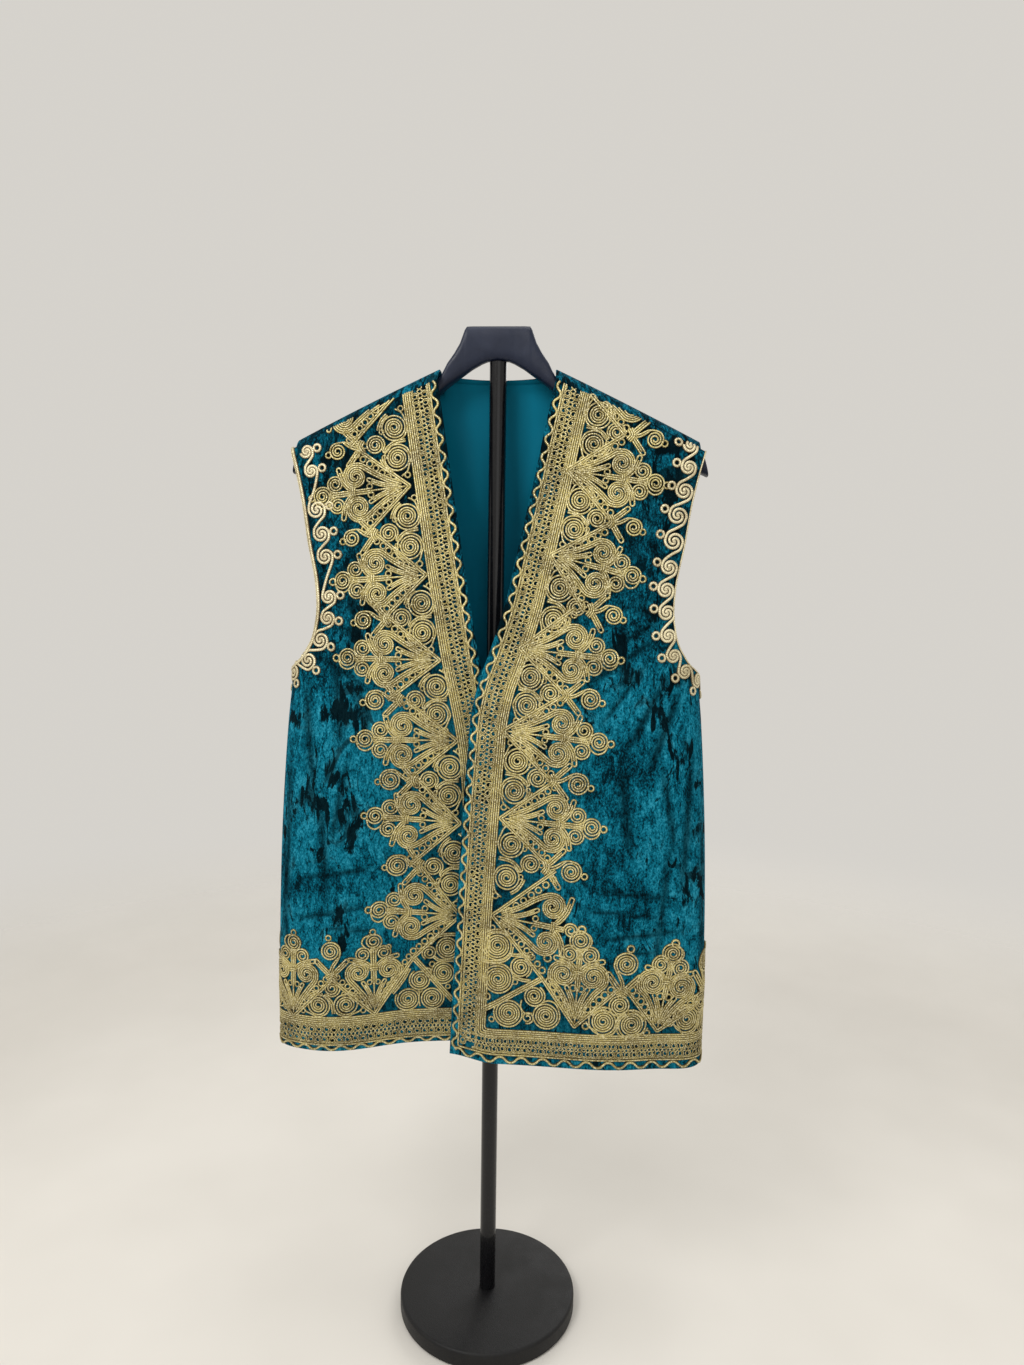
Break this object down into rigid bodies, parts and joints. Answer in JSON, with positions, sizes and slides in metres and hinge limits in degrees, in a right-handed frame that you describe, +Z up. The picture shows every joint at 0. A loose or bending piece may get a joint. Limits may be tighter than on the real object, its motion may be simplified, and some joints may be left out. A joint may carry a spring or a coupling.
{
  "type": "embroidered folk vest on hanger stand",
  "caption": "Sleeveless velvet vest with an open front and raised braid embroidery, hanging on a shaped hanger fixed to a pole with a round weighted foot.",
  "frame": {"origin": "centre of the stand foot's underside, on the floor", "axes": "+Z up along the pole, the vest's open front faces -Y, the hanger and shoulders run along X with the wearer's left at +X"},
  "size_m": [0.4636, 0.2, 1.0964],
  "materials": {
    "velvet": "crushed pile",
    "lining": "smooth satin weave",
    "braid": "couched metallic thread braid",
    "hanger": "satin",
    "pole": "gloss powder coat",
    "foot": "textured black paint"
  },
  "bodies": {
    "root": {"stand_foot": "foot", "stand_pole": "pole", "hanger": "hanger", "front_left": "velvet", "front_right": "velvet", "back": "velvet", "back_lining": "lining", "front_braid_left": "braid", "front_braid_right": "braid", "hem_braid_back": "braid", "armhole_braid_front_left": "braid", "armhole_braid_front_right": "braid", "armhole_braid_back_left": "braid", "armhole_braid_back_right": "braid"}
  },
  "joints": []
}
